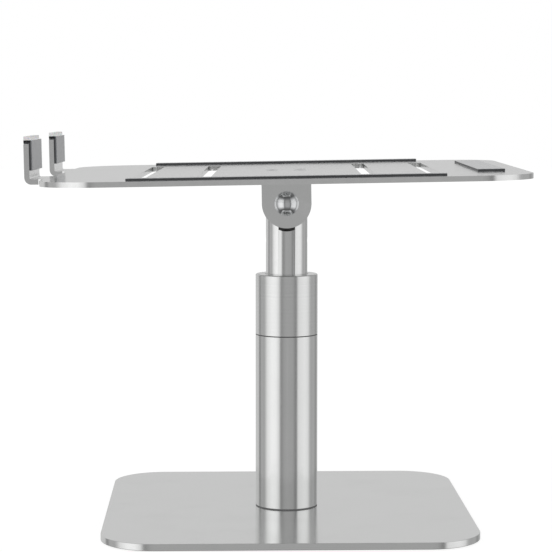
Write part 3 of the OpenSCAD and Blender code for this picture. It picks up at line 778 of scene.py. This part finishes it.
spring_r, spring_hole, spring_edge = 7.5, 4.1, 0.08
spring_cones = ([(spring_hole, 0), (spring_r, 0.12), (spring_r, 0.43), (spring_hole, 0.36)],
                [(spring_hole, 0.54), (spring_r, 0.47), (spring_r, 0.78), (spring_hole, 0.9)])
shell = bmesh.new()
for side in (0, math.pi):
    for cone in spring_cones:
        turned(shell, softened([(r, ear_out + z) for r, z in cone], spring_edge, 2),
               place=Matrix.Rotation(side, 4, "X"))
cast("disc_springs", shell, bolt_space, polished_chrome, "tray", "polished_chrome", "spring_washers")

# ---------------------------------------------------------------------------
# Tray. One aluminium sheet, cut with four long slots and two front tabs that
# are bent up into hooks, then blasted and anodised. Four countersunk screws
# hold it on the bracket, flush with its top.
# ---------------------------------------------------------------------------
clad("tray_plate", satin_aluminium)
broken_edges("tray_plate", 0.35)

low, high = span("bracket_screws", tray_space)
screw_at, screw_shank, screw_head, screw_socket = 8.6, 2.0, 4.0, 1.4
shell = bmesh.new()
for sx in (-1, 1):
    for sy in (-1, 1):
        spot = Matrix.Translation((sx * screw_at, sy * screw_at, high[2]))
        socket_screw(shell, spot, screw_shank, screw_head, high[2] - low[2], screw_socket)
cast("tray_screws", shell, tray_space, screw_steel, "tray", "screw_steel", "bracket_screws")

# ---------------------------------------------------------------------------
# Soft pads. Die-cut silicone with a smooth, slightly glossy skin; the cut sides
# are painted in a darker shade. One long strip lies along each side edge and
# one wide pad across the rear, all glued down.
# ---------------------------------------------------------------------------
flat_skin, tree, shader = rubber(
    "flat_skin", dark=(0.40, 0.41, 0.43), light=(0.52, 0.53, 0.55), roughness=0.16, pores=3800.0,
    depth=0.000002, dust=0.10)
shader.inputs["IOR"].default_value = 1.62
shader.inputs["Coat Weight"].default_value = 0.5
shader.inputs["Coat Roughness"].default_value = 0.12
# Painted shade: a darker copy of the silicone for the pads' cut sides.
silicone_sides_painted_shade, tree, shader = rubber(
    "silicone_sides_painted_shade", dark=(0.060, 0.062, 0.066), light=(0.105, 0.108, 0.112), roughness=0.42, pores=3000.0,
    depth=0.00001, dust=0.0)
cut_face = 0.6


def shown_in(piece, which, *finishes):
    """Gives a piece more finishes, and each face the one whose number `which` says."""
    for finish in finishes:
        piece.data.materials.append(finish)
    for face in piece.data.polygons:
        face.material_index = which(face)


def flat_pad(name, cad, corner=1.0):
    """A flat pad with round corners and a soft upper edge, in its CAD node's place."""
    low, high = span(cad, tray_space)
    shell = bmesh.new()
    outline = rounded_corner(high[0] - low[0], high[1] - low[1], corner, 8)
    middle = ((low[0] + high[0]) / 2, (low[1] + high[1]) / 2)
    layered(shell, [(x + middle[0], y + middle[1]) for x, y in outline],
            [(0.12, low[2]), (0, low[2] + 0.15), (0, high[2] - 0.45), (0.06, high[2] - 0.22),
             (0.2, high[2] - 0.06), (0.42, high[2])])
    piece = cast(name, shell, tray_space, flat_skin, "tray", "grey_silicone", cad)
    # Faces that don't face up get the painted shade of the sides.
    shown_in(piece, lambda face: int(abs(face.normal.dot(tray_up)) < cut_face), silicone_sides_painted_shade)


flat_pad("side_strip_right", "tray_strip_right")
flat_pad("side_strip_left", "tray_strip_left")
flat_pad("rear_rest", "rear_pad")

# ---------------------------------------------------------------------------
# Hook pads. Moulded silicone, glued on each hook's inner face and folded over
# its top, where a pale soft ridge stands up to keep a laptop from slipping over.
# The pad's ends are painted in shade, near black above the metal's top and dark
# below it. The grey skin wraps round the pad's inner edges.
# ---------------------------------------------------------------------------
silicone_skin, tree, shader = rubber(
    "silicone_skin", dark=(0.25, 0.26, 0.275), light=(0.38, 0.39, 0.405), roughness=0.20, pores=3800.0,
    depth=0.000003, dust=0.10)
shader.inputs["IOR"].default_value = 1.62
shader.inputs["Sheen Weight"].default_value = 0.12
shader.inputs["Sheen Roughness"].default_value = 0.35
pale_silicone_painted_glow, tree, shader = rubber(
    "pale_silicone_painted_glow", dark=(0.88, 0.885, 0.885), light=(0.96, 0.96, 0.955), roughness=0.36, pores=3800.0,
    depth=0.000006, dust=0.0)
shader.inputs["IOR"].default_value = 1.5
shader.inputs["Subsurface Weight"].default_value = 0.15
shader.inputs["Subsurface Scale"].default_value = 0.0015
# A painted glow, a little light of its own, stands for the light that comes through the ridge.
shader.inputs["Emission Color"].default_value = (1.0, 1.0, 0.99, 1)
shader.inputs["Emission Strength"].default_value = 0.14
# Painted shade: near black for the hook pads' ends above the metal's top.
hook_ends_painted_shade, tree, shader = rubber(
    "hook_ends_painted_shade", dark=(0.008, 0.008, 0.009), light=(0.018, 0.018, 0.020), roughness=0.45, pores=3000.0,
    depth=0.00001, dust=0.0)
hook_sheet, pad_corner, black_rise = 3.0, 2.0, 1.4
ridge_back, skin_wrap, seam_slack = 1.3, 0.6, 0.02
along_hook = Matrix(((0, 0, 1, 0), (1, 0, 0, 0), (0, 1, 0, 0), (0, 0, 0, 1)))
hook_top = span("tray_plate", tray_space)[1][2]
ridge_foot = hook_top + black_rise
end_steps = [
    (0.30, 0.0), (0.09, 0.09), (0.0, 0.30), (0.0, 0.7), (0.0, 1.1), (0.0, 1.5), (0.0, 2.0), (0.0, 6.0),
]
back_to_tray = tray_space.inverted()
for side in ("right", "left"):
    cad = "hook_pad_" + side
    low, high = span(cad, tray_space)
    inner, outer, start, stop = high[1], low[1], low[0], high[0]
    metal, ridge, skin_from = outer + hook_sheet, inner - ridge_back, inner - skin_wrap
    outline = [
        (metal, low[2]), (inner, low[2]), (inner, ridge_foot), (ridge, ridge_foot), (ridge, high[2]),
        (outer, high[2]), (outer, ridge_foot), (outer, hook_top), (metal, hook_top)]
    layers = [(inward, start + d) for inward, d in end_steps]
    layers += [(inward, stop - d) for inward, d in reversed(end_steps)]
    shell = bmesh.new()
    layered(shell, outline, layers)
    bmesh.ops.transform(shell, matrix=along_hook, verts=shell.verts)

    # Edges where one finish meets the next: under the ridge, at the metal's top
    # and where the skin ends.
    for seam_at, across in (((0, 0, ridge_foot - seam_slack), (0, 0, 1)), ((0, 0, hook_top), (0, 0, 1)),
                            ((0, skin_from, 0), (0, 1, 0))):
        everything = shell.verts[:] + shell.edges[:] + shell.faces[:]
        bmesh.ops.bisect_plane(shell, geom=everything, dist=0.001, plane_co=seam_at, plane_no=across)

    # The upper corners of both ends are rounded off.
    half_way = (start + stop) / 2
    for v in shell.verts:
        near_end = start + pad_corner if v.co.x < half_way else stop - pad_corner
        beyond = (v.co.x - near_end) * (v.co.x - half_way) > 0
        along = abs(v.co.x - near_end) if beyond else 0.0
        rise = v.co.z - (high[2] - pad_corner)
        if along > 0 and rise > 0 and math.hypot(along, rise) > pad_corner:
            keep = pad_corner / math.hypot(along, rise)
            v.co.x = near_end + (v.co.x - near_end) * keep
            v.co.z = high[2] - pad_corner + rise * keep

    def hook_finish(face):
        """Pale on the ridge; painted shade on the ends, near black over the metal and dark below it; skin
        elsewhere.
        """
        spot = back_to_tray @ face.center
        if spot.z > ridge_foot - seam_slack:
            return 3
        if abs(face.normal.dot(hinge_line)) <= cut_face or spot.y >= skin_from:
            return 0
        return 2 if spot.z > hook_top else 1

    piece = cast("hook_rest_" + side, shell, tray_space, silicone_skin, "tray", "grey_silicone", cad)
    shown_in(piece, hook_finish, silicone_sides_painted_shade, hook_ends_painted_shade, pale_silicone_painted_glow)
